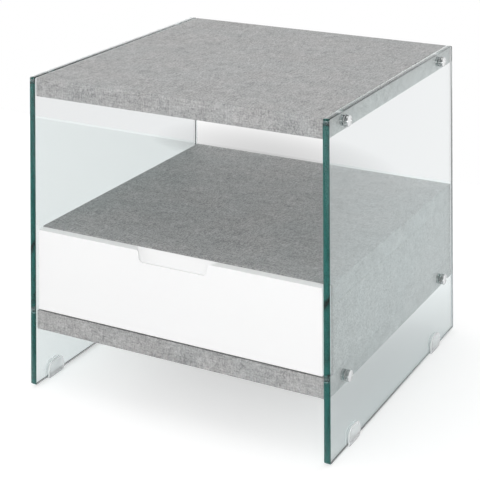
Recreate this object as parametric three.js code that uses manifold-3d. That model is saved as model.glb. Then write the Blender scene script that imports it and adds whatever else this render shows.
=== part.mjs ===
// Side table with a drawer: two standing panes of toughened glass carry a top board and a low case.
// Millimetres. X runs to the right, Y to the back and Z up. The origin is on the floor, under the middle.
import * as THREE from 'three';
import { mergeVertices } from 'three/addons/utils/BufferGeometryUtils.js';
import Module from 'manifold-3d';

const wasm = await Module();
wasm.setup();

// ---- Driving dimensions -------------------------------------------------------------------------

const TABLE = { width: 500, depth: 490, height: 470 };
const GLASS = { thickness: 10, cornerRadius: 3, arris: 0.6, holeRadius: 6.5 };
const GLIDE = {
  length: 39, height: 24.5, floor: 2.5, wall: 1.75,
  cornerRadius: 12, footRadius: 1.5, edge: 0.5, clearance: 0.25,
};
const GLIDE_FROM_FRONT = { left: [50, 401], right: [78, 401] };

const BOARD = { thickness: 28, arris: 0.5, glassGap: 1, frontSetback: 2.5, rearSetback: 0.5 };
const TOP_DROP = 0.5;
const SHELF_TOP = 240;
const BASE_UNDERSIDE = 88.5;
const CASE_SIDE_THICKNESS = 16;
const CASE_FRONT_GAP = 1;
const CASE_BACK = { thickness: 5, setback: 8, grooveDepth: 6, slack: 0.25 };

const DRAWER_FRONT = { thickness: 15, endGap: 2, lowerGap: 2, upperGap: 1, arris: 1 };
const DRAWER_BOX = { length: 400, height: 62, wall: 12, arris: 0.5 };
const DRAWER_BOTTOM = { thickness: 3, lift: 8.25, grooveDepth: 5, slack: 0.25 };
const SCOOP = {
  width: 114, height: 17, wallLeft: 1.5, sideDraft: 2, sideSlope: 1.5, cornerRadius: 6.5,
  leastCorner: 0.2, cornerLead: 0.2, shoulderWidth: 9, shoulderHeight: 7.5, depthSteps: 8,
};

const SHEET = 1.25;
const RUNNER = { length: 400, lift: 12, frontSetback: 2, sideGap: 12.5 };
const CHANNEL = { height: 24, reach: 9.5, lip: 3.25, frontCutout: 32, cutoutFloor: 18, screwHole: 2.2 };
const DRAWER_RAIL = { drop: 3, top: 22, flangeFrom: 3, footReach: 12, screwHole: 2 };
const FRONT_ROLLER = { radius: 9.25, fromEnd: 14, axleHeight: 11.25 };
const REAR_ROLLER = { radius: 9.5, fromEnd: 13, axleHeight: 10.85 };
const ROLLER = { from: 2.6, to: 8, bore: 2.6, rim: 0.8, hubRadius: 4.5, hubRelief: 0.5 };
const AXLE = { radius: 2.5, headRadius: 4, headThickness: 0.7, endPlay: 0.3 };
const DRAWER_TRAVEL = 300;
const DRAWER_STOP = { radius: 3, from: 3, to: 7.5, gap: 0.5 };

const FIXING = { fromFront: 54, fromRear: 57 };
const CAP_BOLT = {
  headRadius: 8, headLength: 5.5, chamfer: 0.8, shankRadius: 3, tipChamfer: 0.5, length: 29,
};
const OUTER_WASHER = { radius: 8.25, thickness: 0.8, bore: 3.3, taper: 0.2 };
const BUSH = { flangeRadius: 8, flange: 0.8, sleeveRadius: 6.25, sleeveLength: 9, bore: 3.3 };
const INSERT = {
  radius: 4.9, bore: 3.2, length: 13, groove: 0.5, sink: 0.4, holeSlack: 0.2, holeSpare: 2,
  firstBarb: 0.7, secondBarb: 0.35, collar: 0.15,
};
const SEAT_GAP = 0.1;

// ---- Places that follow from the dimensions -----------------------------------------------------

const GLASS_INNER = TABLE.width / 2 - GLASS.thickness;
const BOARD_END = GLASS_INNER - BOARD.glassGap;
const FRONT_PLANE = -TABLE.depth / 2 + BOARD.frontSetback;
const REAR_PLANE = TABLE.depth / 2 - BOARD.rearSetback;
const TOP_UNDERSIDE = TABLE.height - TOP_DROP - BOARD.thickness;
const BASE_TOP = BASE_UNDERSIDE + BOARD.thickness;
const SHELF_UNDERSIDE = SHELF_TOP - BOARD.thickness;
const DRAWER_FRONT_BACK = FRONT_PLANE + DRAWER_FRONT.thickness;
const CASE_FRONT = DRAWER_FRONT_BACK + CASE_FRONT_GAP;
const CASE_INNER = BOARD_END - CASE_SIDE_THICKNESS;
const BACK_FACE = REAR_PLANE - CASE_BACK.setback;
const RUNNER_UNDERSIDE = BASE_TOP + RUNNER.lift;
const BOX_OUTER = CASE_INNER - RUNNER.sideGap;
const BOX_UNDERSIDE = RUNNER_UNDERSIDE - DRAWER_RAIL.drop + SHEET;
const BOX_REAR = DRAWER_FRONT_BACK + DRAWER_BOX.length;
const BOTTOM_UNDERSIDE = BOX_UNDERSIDE + DRAWER_BOTTOM.lift;
const RUNNER_FRONT = CASE_FRONT + RUNNER.frontSetback;
const FIXING_DEPTHS = {
  front: -TABLE.depth / 2 + FIXING.fromFront,
  rear: TABLE.depth / 2 - FIXING.fromRear,
};
const FIXING_HEIGHTS = {
  upper: TOP_UNDERSIDE + BOARD.thickness / 2,
  lower: BASE_UNDERSIDE + BOARD.thickness / 2,
};
const SIDES = { left: -1, right: 1 };

// ---- Materials ----------------------------------------------------------------------------------

const finish = (color, roughness, metalness = 0, extra = {}) =>
  new THREE.MeshStandardMaterial({ color, roughness, metalness, ...extra });
const MATERIALS = {
  glass: finish('#9fc4bd', 0.03, 0, { transparent: true, opacity: 0.35 }),
  clearPlastic: finish('#dde6e6', 0.15, 0, { transparent: true, opacity: 0.5 }),
  concrete: finish('#a9a8a7', 0.6),
  whiteLacquer: finish('#f6f6f5', 0.3),
  whiteBoard: finish('#e9e9e7', 0.5),
  chrome: finish('#d9dcde', 0.08, 1),
  brass: finish('#b59a5b', 0.35, 1),
  whiteSteel: finish('#e4e5e3', 0.4, 0.3),
  nylon: finish('#f0efe9', 0.45),
};

// ---- Solids -------------------------------------------------------------------------------------

function toSolid(geometry) {
  const bare = geometry.clone();
  bare.deleteAttribute('normal');
  bare.deleteAttribute('uv');
  const merged = mergeVertices(bare, 1e-4);
  return new wasm.Manifold(new wasm.Mesh({
    numProp: 3,
    vertProperties: new Float32Array(merged.attributes.position.array),
    triVerts: new Uint32Array(merged.index.array),
  }));
}

function toGeometry(solid) {
  const mesh = solid.getMesh();
  const geometry = new THREE.BufferGeometry();
  geometry.setAttribute('position', new THREE.BufferAttribute(mesh.vertProperties, 3));
  geometry.setIndex(new THREE.BufferAttribute(mesh.triVerts, 1));
  return geometry;
}

const cut = (geometry, ...tools) =>
  toGeometry(tools.reduce((solid, tool) => solid.subtract(toSolid(tool)), toSolid(geometry)));
const join = (geometry, ...others) =>
  toGeometry(others.reduce((solid, other) => solid.add(toSolid(other)), toSolid(geometry)));

// ---- Outlines and the ways they are swept -------------------------------------------------------

function rectangle(x0, y0, x1, y1) {
  const corners = [[x0, y0], [x1, y0], [x1, y1], [x0, y1]];
  return new THREE.Shape(corners.map(([x, y]) => new THREE.Vector2(x, y)));
}

function roundedRectangle(x0, y0, x1, y1, lowerRadius, upperRadius) {
  const shape = new THREE.Shape();
  shape.absarc(x1 - lowerRadius, y0 + lowerRadius, lowerRadius, -Math.PI / 2, 0);
  shape.absarc(x1 - upperRadius, y1 - upperRadius, upperRadius, 0, Math.PI / 2);
  shape.absarc(x0 + upperRadius, y1 - upperRadius, upperRadius, Math.PI / 2, Math.PI);
  shape.absarc(x0 + lowerRadius, y0 + lowerRadius, lowerRadius, Math.PI, 1.5 * Math.PI);
  return shape;
}

function circle(x, y, radius, sides = 20) {
  const points = Array.from({ length: sides }, (_, i) => {
    const angle = (2 * Math.PI * i) / sides;
    return new THREE.Vector2(x + radius * Math.cos(angle), y + radius * Math.sin(angle));
  });
  return new THREE.Path(points);
}

// A bent sheet's outline, with each corner of the path rounded by the same radius.
function foldedOutline(corners, radius) {
  const shape = new THREE.Shape();
  corners.forEach(([x, y], i) => {
    const here = new THREE.Vector2(x, y);
    const [before, after] = [corners.at(i - 1), corners[(i + 1) % corners.length]]
      .map(([cx, cy]) => new THREE.Vector2(cx, cy).sub(here).setLength(radius).add(here));
    if (i === 0) shape.moveTo(before.x, before.y);
    else shape.lineTo(before.x, before.y);
    shape.quadraticCurveTo(x, y, after.x, after.y);
  });
  shape.closePath();
  return shape;
}

// A slab of the outline, from z = 0 up to its thickness. The arris takes the sharpness off its edges.
function slab(outline, thickness, arris = 0, curveSegments = 3) {
  const geometry = new THREE.ExtrudeGeometry(outline, {
    depth: thickness - 2 * arris,
    bevelEnabled: arris > 0,
    bevelThickness: arris,
    bevelSize: arris,
    bevelOffset: -arris,
    bevelSegments: 1,
    curveSegments,
  });
  return geometry.translate(0, 0, arris);
}

// Turns a slab whose outline is drawn in depth and height, so that its thickness runs along +X.
const acrossTable = (geometry) => geometry.rotateX(Math.PI / 2).rotateZ(Math.PI / 2);

// Turns a slab whose outline is drawn in width and height, so that it runs back from y to y + length.
const backFrom = (geometry, y, length) => geometry.rotateX(Math.PI / 2).translate(0, y + length, 0);

function block(x0, x1, y0, y1, z0, z1) {
  const box = new THREE.BoxGeometry(x1 - x0, y1 - y0, z1 - z0);
  return box.translate((x0 + x1) / 2, (y0 + y1) / 2, (z0 + z1) / 2);
}

// A round solid about the X axis. The profile lists [distance along side * X, radius].
function turnedAlongX(profile, side, sides) {
  const points = profile.map(([along, radius]) => new THREE.Vector2(radius, along));
  return new THREE.LatheGeometry(points, sides).rotateZ(-side * Math.PI / 2);
}

// A plain round rod about the X axis, from one x to another.
function rodAlongX(x0, x1, radius, sides = 16) {
  const rod = new THREE.CylinderGeometry(radius, radius, Math.abs(x1 - x0), sides);
  return rod.rotateZ(Math.PI / 2).translate((x0 + x1) / 2, 0, 0);
}

function part(name, geometry, material, x = 0, y = 0, z = 0) {
  const mesh = new THREE.Mesh(geometry, material);
  mesh.name = name;
  mesh.position.set(x, y, z);
  return mesh;
}

// ---- Glass panes and their glides ---------------------------------------------------------------

function glassPane(sideName) {
  const half = TABLE.depth / 2;
  const { cornerRadius, holeRadius } = GLASS;
  const outline = roundedRectangle(-half, GLIDE.floor, half, TABLE.height, cornerRadius, cornerRadius);
  const heights = Object.values(FIXING_HEIGHTS);
  for (const depth of Object.values(FIXING_DEPTHS))
    for (const height of heights) outline.holes.push(circle(depth, height, holeRadius));
  const pane = acrossTable(slab(outline, GLASS.thickness, GLASS.arris));
  const x = sideName === 'left' ? -TABLE.width / 2 : GLASS_INNER;
  return part(`${sideName}_glass_pane`, pane, MATERIALS.glass, x);
}

// A clear clip pushed onto the pane's lower edge: a floor with two arched cheeks.
function glassGlide(sideName, place, fromFront) {
  const inner = GLASS.thickness / 2 + GLIDE.clearance;
  const outer = inner + GLIDE.wall;
  const half = GLIDE.length / 2;
  const cheek = roundedRectangle(-half, 0, half, GLIDE.height, GLIDE.footRadius, GLIDE.cornerRadius);
  const arched = acrossTable(slab(cheek, 2 * outer, GLIDE.edge, 2)).translate(-outer, 0, 0);
  const mouth = block(-inner, inner, -half - 1, half + 1, GLIDE.floor - GLIDE.clearance, GLIDE.height + 1);
  const x = SIDES[sideName] * (TABLE.width - GLASS.thickness) / 2;
  const y = fromFront - TABLE.depth / 2;
  return part(`${sideName}_${place}_glide`, cut(arched, mouth), MATERIALS.clearPlastic, x, y);
}

// ---- Boards -------------------------------------------------------------------------------------

// Blind holes in both ends of a board, for the threaded inserts.
function insertHoles(height) {
  const bottom = BOARD_END - INSERT.length - INSERT.holeSpare;
  return Object.values(SIDES).flatMap((side) => Object.values(FIXING_DEPTHS).map((y) => {
    const hole = rodAlongX(side * bottom, side * (BOARD_END + 1), INSERT.radius + INSERT.holeSlack, 20);
    return hole.translate(0, y, height);
  }));
}

// The groove that holds the case back, cut between the case's sides.
function backGroove(z0, z1) {
  const reach = CASE_INNER + CASE_BACK.grooveDepth;
  const front = BACK_FACE - CASE_BACK.thickness - CASE_BACK.slack;
  return block(-reach, reach, front, BACK_FACE + CASE_BACK.slack, z0, z1);
}

function wideBoard(frontPlane, underside) {
  const plan = rectangle(-BOARD_END, frontPlane, BOARD_END, REAR_PLANE);
  return slab(plan, BOARD.thickness, BOARD.arris).translate(0, 0, underside);
}

function topBoard() {
  const board = cut(wideBoard(FRONT_PLANE, TOP_UNDERSIDE), ...insertHoles(FIXING_HEIGHTS.upper));
  return part('top_board', board, MATERIALS.concrete);
}

function shelfBoard() {
  const groove = backGroove(SHELF_UNDERSIDE - 1, SHELF_UNDERSIDE + CASE_BACK.grooveDepth);
  return part('shelf_board', cut(wideBoard(CASE_FRONT, SHELF_UNDERSIDE), groove), MATERIALS.concrete);
}

function baseBoard() {
  const groove = backGroove(BASE_TOP - CASE_BACK.grooveDepth, BASE_TOP + 1);
  const board = cut(wideBoard(FRONT_PLANE, BASE_UNDERSIDE), groove, ...insertHoles(FIXING_HEIGHTS.lower));
  return part('base_board', board, MATERIALS.concrete);
}

function caseSide(sideName) {
  const outline = rectangle(CASE_FRONT, BASE_TOP, REAR_PLANE, SHELF_UNDERSIDE);
  const x = sideName === 'left' ? -BOARD_END : CASE_INNER;
  const upright = acrossTable(slab(outline, CASE_SIDE_THICKNESS, BOARD.arris)).translate(x, 0, 0);
  const grooved = cut(upright, backGroove(BASE_TOP - 1, SHELF_UNDERSIDE + 1));
  return part(`${sideName}_case_side`, grooved, MATERIALS.concrete);
}

function caseBack() {
  const reach = CASE_INNER + CASE_BACK.grooveDepth - CASE_BACK.slack;
  const rise = CASE_BACK.grooveDepth - CASE_BACK.slack;
  const front = BACK_FACE - CASE_BACK.thickness;
  const panel = block(-reach, reach, front, BACK_FACE, BASE_TOP - rise, SHELF_UNDERSIDE + rise);
  return part('case_back', panel, MATERIALS.concrete);
}

// ---- Fixings: a cap bolt through the glass into an insert in the board's end --------------------

function fixing(sideName, level, place) {
  const side = SIDES[sideName];
  const label = `${sideName}_${level}_${place}`;
  const y = FIXING_DEPTHS[place];
  const z = FIXING_HEIGHTS[level];
  const washerX = TABLE.width / 2 + SEAT_GAP;
  const boltX = washerX + OUTER_WASHER.thickness + SEAT_GAP;
  const flangeX = BOARD_END + SEAT_GAP;
  const insertX = BOARD_END - INSERT.sink;

  const { headRadius, headLength, chamfer, shankRadius, tipChamfer, length } = CAP_BOLT;
  const tip = headLength - length;
  const boltProfile = [
    [tip, 0], [tip, shankRadius - tipChamfer], [tip + tipChamfer, shankRadius],
    [0, shankRadius], [0, headRadius], [headLength - chamfer, headRadius],
    [headLength, headRadius - chamfer], [headLength, 0],
  ];
  const rim = OUTER_WASHER.radius - OUTER_WASHER.taper;
  const washerProfile = [
    [0, OUTER_WASHER.bore], [0, OUTER_WASHER.radius], [OUTER_WASHER.thickness, rim],
    [OUTER_WASHER.thickness, OUTER_WASHER.bore], [0, OUTER_WASHER.bore],
  ];
  const sleeveEnd = BUSH.flange + BUSH.sleeveLength;
  const { flange, flangeRadius, sleeveRadius } = BUSH;
  const bushProfile = [
    [0, BUSH.bore], [0, flangeRadius], [flange, flangeRadius], [flange, sleeveRadius],
    [sleeveEnd, sleeveRadius], [sleeveEnd, BUSH.bore], [0, BUSH.bore],
  ];
  const inner = INSERT.radius - INSERT.groove;
  const [first, second, collar] = [INSERT.firstBarb, INSERT.secondBarb, INSERT.collar]
    .map((share) => -share * INSERT.length);
  const insertProfile = [
    [-INSERT.length, INSERT.bore], [-INSERT.length, inner],
    [first, INSERT.radius], [first, inner], [second, INSERT.radius], [second, inner],
    [collar, INSERT.radius], [0, INSERT.radius], [0, INSERT.bore], [-INSERT.length, INSERT.bore],
  ];
  const { chrome, clearPlastic, brass } = MATERIALS;
  return [
    part(`${label}_cap_bolt`, turnedAlongX(boltProfile, side, 20), chrome, side * boltX, y, z),
    part(`${label}_outer_washer`, turnedAlongX(washerProfile, side, 16), clearPlastic,
      side * washerX, y, z),
    part(`${label}_glass_bush`, turnedAlongX(bushProfile, side, 16), clearPlastic, side * flangeX, y, z),
    part(`${label}_insert`, turnedAlongX(insertProfile, side, 12), brass, side * insertX, y, z),
  ];
}

// ---- Drawer -------------------------------------------------------------------------------------

// One cross-section of the finger scoop, looking from the front: a tray with sloping ends, rounded lower
// corners and shoulders that flare out to the drawer's top. It gets shallower as the cut goes deeper.
function scoopSection(turn) {
  const rise = Math.cos(turn);
  const { cornerRadius, leastCorner, cornerLead, shoulderWidth } = SCOOP;
  const wall = SCOOP.width / 2 - SCOOP.sideDraft * (1 - rise);
  const foot = wall - SCOOP.sideSlope * rise;
  const corner = leastCorner + (cornerRadius - leastCorner) * rise;
  const bottom = -SCOOP.height * rise;
  const wallTop = -SCOOP.shoulderHeight * rise;
  const above = 1;
  const section = new THREE.Path();
  section.moveTo(-wall - shoulderWidth, above);
  section.lineTo(-wall - shoulderWidth, 0);
  section.quadraticCurveTo(-wall, 0, -wall, wallTop);
  section.lineTo(-foot - cornerLead * corner, bottom + corner);
  section.quadraticCurveTo(-foot, bottom, -foot + corner, bottom);
  section.lineTo(foot - corner, bottom);
  section.quadraticCurveTo(foot, bottom, foot + cornerLead * corner, bottom + corner);
  section.lineTo(wall, wallTop);
  section.quadraticCurveTo(wall, 0, wall + shoulderWidth, 0);
  section.lineTo(wall + shoulderWidth, above);
  return section.getPoints(4);
}

// The body that the cutter sweeps out: sections that follow a quarter of an ellipse from the front face to
// near the back, so that the floor of the scoop starts level and ends upright.
function scoopCutter(centreX, faceY, topZ) {
  const depth = DRAWER_FRONT.thickness - SCOOP.wallLeft;
  const sections = [{ turn: 0, y: faceY - 1 }];
  for (let i = 0; i <= SCOOP.depthSteps; i++) {
    const turn = (Math.PI / 2) * (i / SCOOP.depthSteps);
    sections.push({ turn, y: faceY + depth * Math.sin(turn) });
  }
  const rings = sections.map(({ turn }) => scoopSection(turn));
  const count = rings[0].length;
  const positions = rings.flatMap((ring, k) =>
    ring.flatMap((point) => [centreX + point.x, sections[k].y, topZ + point.y]));
  const faces = [];
  for (let k = 0; k + 1 < rings.length; k++)
    for (let i = 0; i < count; i++) {
      const [a, b] = [k * count + i, k * count + ((i + 1) % count)];
      faces.push(a, b + count, b, a, a + count, b + count);
    }
  const last = (rings.length - 1) * count;
  for (const [p, q, r] of THREE.ShapeUtils.triangulateShape(rings[0], [])) faces.push(p, q, r);
  for (const [p, q, r] of THREE.ShapeUtils.triangulateShape(rings.at(-1), []))
    faces.push(last + r, last + q, last + p);
  const geometry = new THREE.BufferGeometry();
  geometry.setAttribute('position', new THREE.Float32BufferAttribute(positions, 3));
  geometry.setIndex(faces);
  return geometry;
}

// The slot that holds the drawer's bottom panel, as wide as the panel plus its slack.
function bottomSlot(x0, x1, y0, y1) {
  const { thickness, slack } = DRAWER_BOTTOM;
  return block(x0, x1, y0, y1, BOTTOM_UNDERSIDE - slack, BOTTOM_UNDERSIDE + thickness + slack);
}

function drawerFront() {
  const half = BOARD_END - DRAWER_FRONT.endGap;
  const top = SHELF_TOP - DRAWER_FRONT.upperGap;
  const outline = rectangle(-half, BASE_TOP + DRAWER_FRONT.lowerGap, half, top);
  const { thickness, arris } = DRAWER_FRONT;
  const blank = backFrom(slab(outline, thickness, arris), FRONT_PLANE, thickness);
  const slotReach = BOX_OUTER - DRAWER_BOX.wall + DRAWER_BOTTOM.grooveDepth;
  const slotFront = DRAWER_FRONT_BACK - DRAWER_BOTTOM.grooveDepth;
  const slot = bottomSlot(-slotReach, slotReach, slotFront, DRAWER_FRONT_BACK + 1);
  return part('drawer_front', cut(blank, scoopCutter(0, FRONT_PLANE, top), slot), MATERIALS.whiteLacquer);
}

function drawerSide(sideName) {
  const side = SIDES[sideName];
  const outline = rectangle(DRAWER_FRONT_BACK, BOX_UNDERSIDE, BOX_REAR, BOX_UNDERSIDE + DRAWER_BOX.height);
  const x = side > 0 ? BOX_OUTER - DRAWER_BOX.wall : -BOX_OUTER;
  const upright = acrossTable(slab(outline, DRAWER_BOX.wall, DRAWER_BOX.arris)).translate(x, 0, 0);
  const inner = side * (BOX_OUTER - DRAWER_BOX.wall);
  const ends = [inner - side, inner + side * DRAWER_BOTTOM.grooveDepth].sort((a, b) => a - b);
  const slot = bottomSlot(...ends, DRAWER_FRONT_BACK - 1, BOX_REAR + 1);
  return part(`drawer_${sideName}_side`, cut(upright, slot), MATERIALS.whiteBoard);
}

function drawerBack() {
  const half = BOX_OUTER - DRAWER_BOX.wall;
  const underside = BOTTOM_UNDERSIDE + DRAWER_BOTTOM.thickness + DRAWER_BOTTOM.slack;
  const outline = rectangle(-half, underside, half, BOX_UNDERSIDE + DRAWER_BOX.height);
  const { wall, arris } = DRAWER_BOX;
  const back = backFrom(slab(outline, wall, arris), BOX_REAR - wall, wall);
  return part('drawer_back', back, MATERIALS.whiteBoard);
}

function drawerBottom() {
  const reach = DRAWER_BOTTOM.grooveDepth - DRAWER_BOTTOM.slack;
  const half = BOX_OUTER - DRAWER_BOX.wall + reach;
  const z1 = BOTTOM_UNDERSIDE + DRAWER_BOTTOM.thickness;
  const panel = block(-half, half, DRAWER_FRONT_BACK - reach, BOX_REAR - 1, BOTTOM_UNDERSIDE, z1);
  return part('drawer_bottom', panel, MATERIALS.whiteBoard);
}

// ---- Roller runners -----------------------------------------------------------------------------

// The x of a point that lies a given distance in from the case side's inner face.
const fromCaseSide = (side, distance) => side * (CASE_INNER - distance);

// A length of folded sheet whose outline is given as [distance from the case side, height].
function foldedRail(corners, side) {
  const outline = corners.map(([distance, height]) =>
    [fromCaseSide(side, distance), RUNNER_UNDERSIDE + height]);
  return backFrom(slab(foldedOutline(outline, 0.5), RUNNER.length, 0, 2), RUNNER_FRONT, RUNNER.length);
}

// A riveted axle: a pin with a boss at its root and a flat head outside the roller.
function axle(side, rootDistance, tipDistance, y, height) {
  const inward = Math.sign(tipDistance - rootDistance);
  const bossEnd = inward > 0 ? ROLLER.from - AXLE.endPlay : ROLLER.to + AXLE.endPlay;
  const headStart = inward > 0 ? ROLLER.to + AXLE.endPlay : ROLLER.from - AXLE.endPlay;
  const headEnd = headStart + inward * AXLE.headThickness;
  const pieces = [
    rodAlongX(fromCaseSide(side, rootDistance), fromCaseSide(side, bossEnd), AXLE.headRadius),
    rodAlongX(fromCaseSide(side, rootDistance), fromCaseSide(side, headEnd), AXLE.radius),
    rodAlongX(fromCaseSide(side, headStart), fromCaseSide(side, headEnd), AXLE.headRadius),
  ];
  return pieces.map((piece) => piece.translate(0, y, RUNNER_UNDERSIDE + height));
}

const FRONT_ROLLER_Y = RUNNER_FRONT + FRONT_ROLLER.fromEnd;
const REAR_ROLLER_Y = RUNNER_FRONT + RUNNER.length - REAR_ROLLER.fromEnd;

// The half-round bump on the case rail's floor. The open drawer's rear roller comes to rest against it.
function drawerStop(side) {
  const { radius, from, to, gap } = DRAWER_STOP;
  const height = REAR_ROLLER.axleHeight - SHEET;
  const ahead = Math.sqrt((REAR_ROLLER.radius + radius + gap) ** 2 - height ** 2);
  const bump = new THREE.Shape();
  bump.absarc(REAR_ROLLER_Y - DRAWER_TRAVEL - ahead, RUNNER_UNDERSIDE + SHEET - 0.25, radius, 0, Math.PI);
  const x = Math.min(fromCaseSide(side, from), fromCaseSide(side, to));
  return acrossTable(slab(bump, to - from, 0, 6)).translate(x, 0, 0);
}

// The fixed rail: a channel open towards the drawer. Its front roller carries the drawer's rail, its upper
// flange is cut away there so that the drawer can be dropped in, and a bump on its floor stops the drawer.
function caseRail(sideName) {
  const side = SIDES[sideName];
  const { height, reach, lip, frontCutout, cutoutFloor, screwHole } = CHANNEL;
  const channel = foldedRail([
    [0, 0], [reach, 0], [reach, lip], [reach - SHEET, lip], [reach - SHEET, SHEET], [SHEET, SHEET],
    [SHEET, height - SHEET], [reach, height - SHEET], [reach, height], [0, height],
  ], side);
  const [x0, x1] = [fromCaseSide(side, SHEET + 0.5), fromCaseSide(side, reach + 1)].sort((a, b) => a - b);
  const [y0, y1] = [RUNNER_FRONT - 1, RUNNER_FRONT + frontCutout];
  const upperGap = block(x0, x1, y0, y1, RUNNER_UNDERSIDE + cutoutFloor, RUNNER_UNDERSIDE + height + 1);
  const lowerGap = block(x0, x1, y0, y1 - 6, RUNNER_UNDERSIDE + SHEET + 0.25, RUNNER_UNDERSIDE + lip + 1);
  const screwHoles = [0.12, 0.5, 0.88].map((share) =>
    rodAlongX(fromCaseSide(side, -1), fromCaseSide(side, 3), screwHole, 12)
      .translate(0, RUNNER_FRONT + share * RUNNER.length, RUNNER_UNDERSIDE + height / 2));
  const pressed = cut(channel, upperGap, lowerGap, ...screwHoles);
  const axlePieces = axle(side, SHEET / 2, ROLLER.to + 1, FRONT_ROLLER_Y, FRONT_ROLLER.axleHeight);
  const finished = join(pressed, drawerStop(side), ...axlePieces);
  return part(`${sideName}_case_rail`, finished, MATERIALS.whiteSteel);
}

// The moving rail: its foot carries the drawer side, and its top flange runs on the front roller.
function drawerRail(sideName) {
  const side = SIDES[sideName];
  const { drop, top, flangeFrom, footReach, screwHole } = DRAWER_RAIL;
  const leg = RUNNER.sideGap;
  const rail = foldedRail([
    [leg + footReach, -drop], [leg + footReach, SHEET - drop], [leg, SHEET - drop], [leg, top],
    [flangeFrom, top], [flangeFrom, top - SHEET], [leg - SHEET, top - SHEET], [leg - SHEET, -drop],
  ], side);
  const screwHoles = [0.1, 0.5, 0.85].map((share) =>
    new THREE.CylinderGeometry(screwHole, screwHole, 6, 12).rotateX(Math.PI / 2).translate(
      fromCaseSide(side, leg + footReach / 2),
      RUNNER_FRONT + share * RUNNER.length,
      RUNNER_UNDERSIDE - drop));
  const axlePieces = axle(side, leg - SHEET / 2, ROLLER.from - 1, REAR_ROLLER_Y, REAR_ROLLER.axleHeight);
  const finished = join(cut(rail, ...screwHoles), ...axlePieces);
  return part(`${sideName}_drawer_rail`, finished, MATERIALS.whiteSteel);
}

// A nylon roller with rounded rims, a plain bore and hubs that stand a little proud of its web.
function roller(name, side, radius, y, height) {
  const { from, to, bore, rim, hubRadius, hubRelief } = ROLLER;
  const width = to - from;
  const profile = [
    [0, bore], [0, hubRadius], [hubRelief, hubRadius + 0.5],
    [hubRelief, radius - rim], [hubRelief + rim, radius],
    [width - hubRelief - rim, radius], [width - hubRelief, radius - rim],
    [width - hubRelief, hubRadius + 0.5], [width, hubRadius], [width, bore], [0, bore],
  ];
  const wheel = turnedAlongX(profile, side, 20);
  return part(name, wheel, MATERIALS.nylon, fromCaseSide(side, to), y, RUNNER_UNDERSIDE + height);
}

// ---- The table ----------------------------------------------------------------------------------

const table = new THREE.Group();
const drawer = new THREE.Group();
table.add(topBoard(), shelfBoard(), baseBoard(), caseBack());
drawer.add(drawerFront(), drawerBack(), drawerBottom());
for (const sideName of Object.keys(SIDES)) {
  const side = SIDES[sideName];
  const [frontGlide, rearGlide] = GLIDE_FROM_FRONT[sideName];
  table.add(glassPane(sideName), caseSide(sideName), caseRail(sideName));
  table.add(glassGlide(sideName, 'front', frontGlide), glassGlide(sideName, 'rear', rearGlide));
  for (const level of Object.keys(FIXING_HEIGHTS))
    for (const place of Object.keys(FIXING_DEPTHS)) table.add(...fixing(sideName, level, place));
  drawer.add(drawerSide(sideName), drawerRail(sideName));
  const { radius: frontRadius, axleHeight: frontHeight } = FRONT_ROLLER;
  table.add(roller(`${sideName}_case_roller`, side, frontRadius, FRONT_ROLLER_Y, frontHeight));
  const { radius: rearRadius, axleHeight: rearHeight } = REAR_ROLLER;
  drawer.add(roller(`${sideName}_drawer_roller`, side, rearRadius, REAR_ROLLER_Y, rearHeight));
}
table.add(drawer);

export default table;
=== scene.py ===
import math

import bmesh
import bpy
from mathutils import Matrix, Vector


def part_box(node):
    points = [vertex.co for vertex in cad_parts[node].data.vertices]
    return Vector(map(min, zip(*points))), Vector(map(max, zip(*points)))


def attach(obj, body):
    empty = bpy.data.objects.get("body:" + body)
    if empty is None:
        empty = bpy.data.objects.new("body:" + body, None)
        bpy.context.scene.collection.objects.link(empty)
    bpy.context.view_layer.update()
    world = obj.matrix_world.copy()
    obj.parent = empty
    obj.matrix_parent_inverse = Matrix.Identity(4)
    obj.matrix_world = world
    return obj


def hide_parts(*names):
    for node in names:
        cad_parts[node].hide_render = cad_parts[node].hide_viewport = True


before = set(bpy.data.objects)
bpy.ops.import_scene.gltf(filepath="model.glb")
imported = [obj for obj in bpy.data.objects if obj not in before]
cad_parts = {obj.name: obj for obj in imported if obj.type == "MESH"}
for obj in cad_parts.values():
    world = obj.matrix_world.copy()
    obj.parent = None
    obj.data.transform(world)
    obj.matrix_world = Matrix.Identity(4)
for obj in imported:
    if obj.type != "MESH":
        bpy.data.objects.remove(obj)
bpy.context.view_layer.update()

scene = bpy.context.scene
MM = 0.001
SIDES = {"left": -1, "right": 1}
LEVELS = ("upper", "lower")
PLACES = ("front", "rear")
X, Y, Z = range(3)


# ---- Camera -------------------------------------------------------------------------------------

# The camera stands in front of the right-hand glass and looks down at the table, but its back stays
# upright, as on a view camera with its lens lowered, so the glass edges stay parallel.
CAMERA_PLACE = Vector((1.0325, -1.9504, 1.0004))
CAMERA_ACROSS = Vector((0.8808, 0.4735, -0.0041))
CAMERA_UPRIGHT = Vector((0.0025, 0.0040, 1.0))
CAMERA_AHEAD = Vector((-0.4735, 0.8808, -0.0023))
LOOK_DOWN = 0.3671
CAMERA_LENS = 110.9
SENSOR_WIDTH = 36.0


def set_up_camera():
    data = bpy.data.cameras.new("view_camera")
    data.sensor_width = SENSOR_WIDTH
    data.lens = CAMERA_LENS
    camera = bpy.data.objects.new("view_camera", data)
    stand = bpy.data.objects.new("camera_stand", None)
    for thing in (camera, stand):
        scene.collection.objects.link(thing)
    stand.location = CAMERA_PLACE
    towards_lens = (LOOK_DOWN * CAMERA_UPRIGHT - CAMERA_AHEAD).normalized()
    upright_back = Matrix((CAMERA_ACROSS, CAMERA_UPRIGHT, towards_lens)).transposed()
    camera.parent = stand
    camera.matrix_parent_inverse = upright_back.to_4x4()
    scene.camera = camera


# ---- Node helpers -------------------------------------------------------------------------------

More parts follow.
